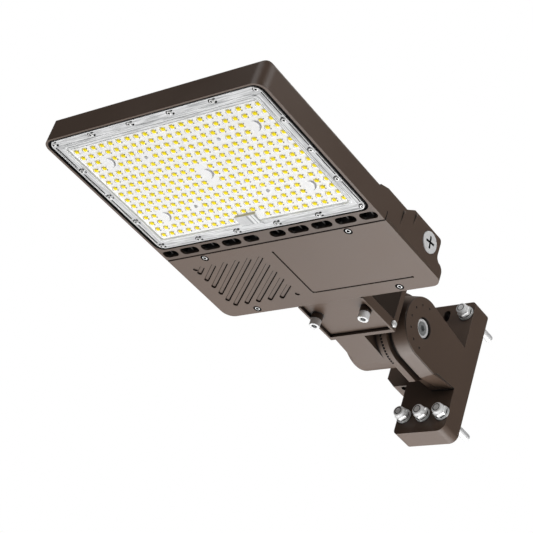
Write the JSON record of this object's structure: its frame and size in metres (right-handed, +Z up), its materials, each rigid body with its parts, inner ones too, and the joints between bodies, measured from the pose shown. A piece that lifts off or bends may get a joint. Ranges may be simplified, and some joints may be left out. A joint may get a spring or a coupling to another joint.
{
  "type": "shoebox area light",
  "caption": "Flat LED area light head with a clear lens plate, vent strip and driver bay, on a toothed tilting knuckle and a bolted wall bracket",
  "frame": {"origin": "on the wall face, behind the middle of the head, level with the tilt axis", "axes": "+Y into the wall, so the head reaches out along -Y; +X across the head, to the right when facing the wall; +Z up, the light shines down"},
  "size_m": [0.3172, 0.61, 0.188],
  "materials": {
    "bronze_paint": "dark bronze powder coat, fine texture",
    "side_paint": "dark bronze powder coat, fine texture",
    "board_white": "white reflective solder mask",
    "chip_yellow": "yellow phosphor under clear resin",
    "plug_white": "white moulded plastic",
    "lens_clear": "clear moulded acrylic",
    "rubber": "matt black silicone rubber",
    "steel": "bright stainless steel",
    "zinc": "zinc plated steel",
    "driver_grey": "light grey painted can",
    "black_case": "black moulded plastic",
    "terminal_cream": "cream moulded plastic",
    "lead_red": "red and black insulation",
    "lead_cream": "cream insulation",
    "plug_grey": "bare cast aluminium"
  },
  "bodies": {
    "bracket": {"wall_bracket": "bronze_paint", "wall_studs": "steel", "wall_washers": "steel", "wall_nuts": "steel", "pivot_bolt": "zinc", "pivot_washer": "steel", "pivot_spring_washer": "zinc", "pivot_nut": "zinc"},
    "head": {"housing": "bronze_paint", "led_board": "board_white", "led_chips": "chip_yellow", "board_screws": "steel", "board_connector": "plug_white", "lens_plate": "lens_clear", "lens_gasket": "rubber", "lens_screws": "steel", "led_driver": "driver_grey", "driver_screws": "zinc", "surge_protector": "black_case", "terminal_block": "terminal_cream", "led_leads": "lead_red", "supply_leads": "lead_cream", "lead_grommet": "rubber", "cable_gland": "black_case", "gland_nut": "black_case", "plug_seal": "rubber", "cover_gasket": "rubber", "arm_sleeve": "bronze_paint", "sleeve_panel": "bronze_paint", "side_panels": "side_paint", "side_screws": "steel", "clamp_bolts": "steel", "sleeve_grommet": "rubber"},
    "cover": {"driver_cover": "bronze_paint", "cover_screws": "steel"},
    "plug": {"side_plug": "plug_grey"}
  },
  "joints": [
    {"name": "tilt", "type": "hinge", "parent": "bracket", "child": "head", "pos_m": [0, -0.116, 0], "axis": [-1, 0, 0], "range_deg": [-90, 90]},
    {"name": "cover_off", "type": "slide", "parent": "head", "child": "cover", "axis": [0, 0, -1], "range_m": [0, 0.04]},
    {"name": "plug_out", "type": "slide", "parent": "head", "child": "plug", "axis": [1, 0, 0], "range_m": [0, 0.02]}
  ]
}
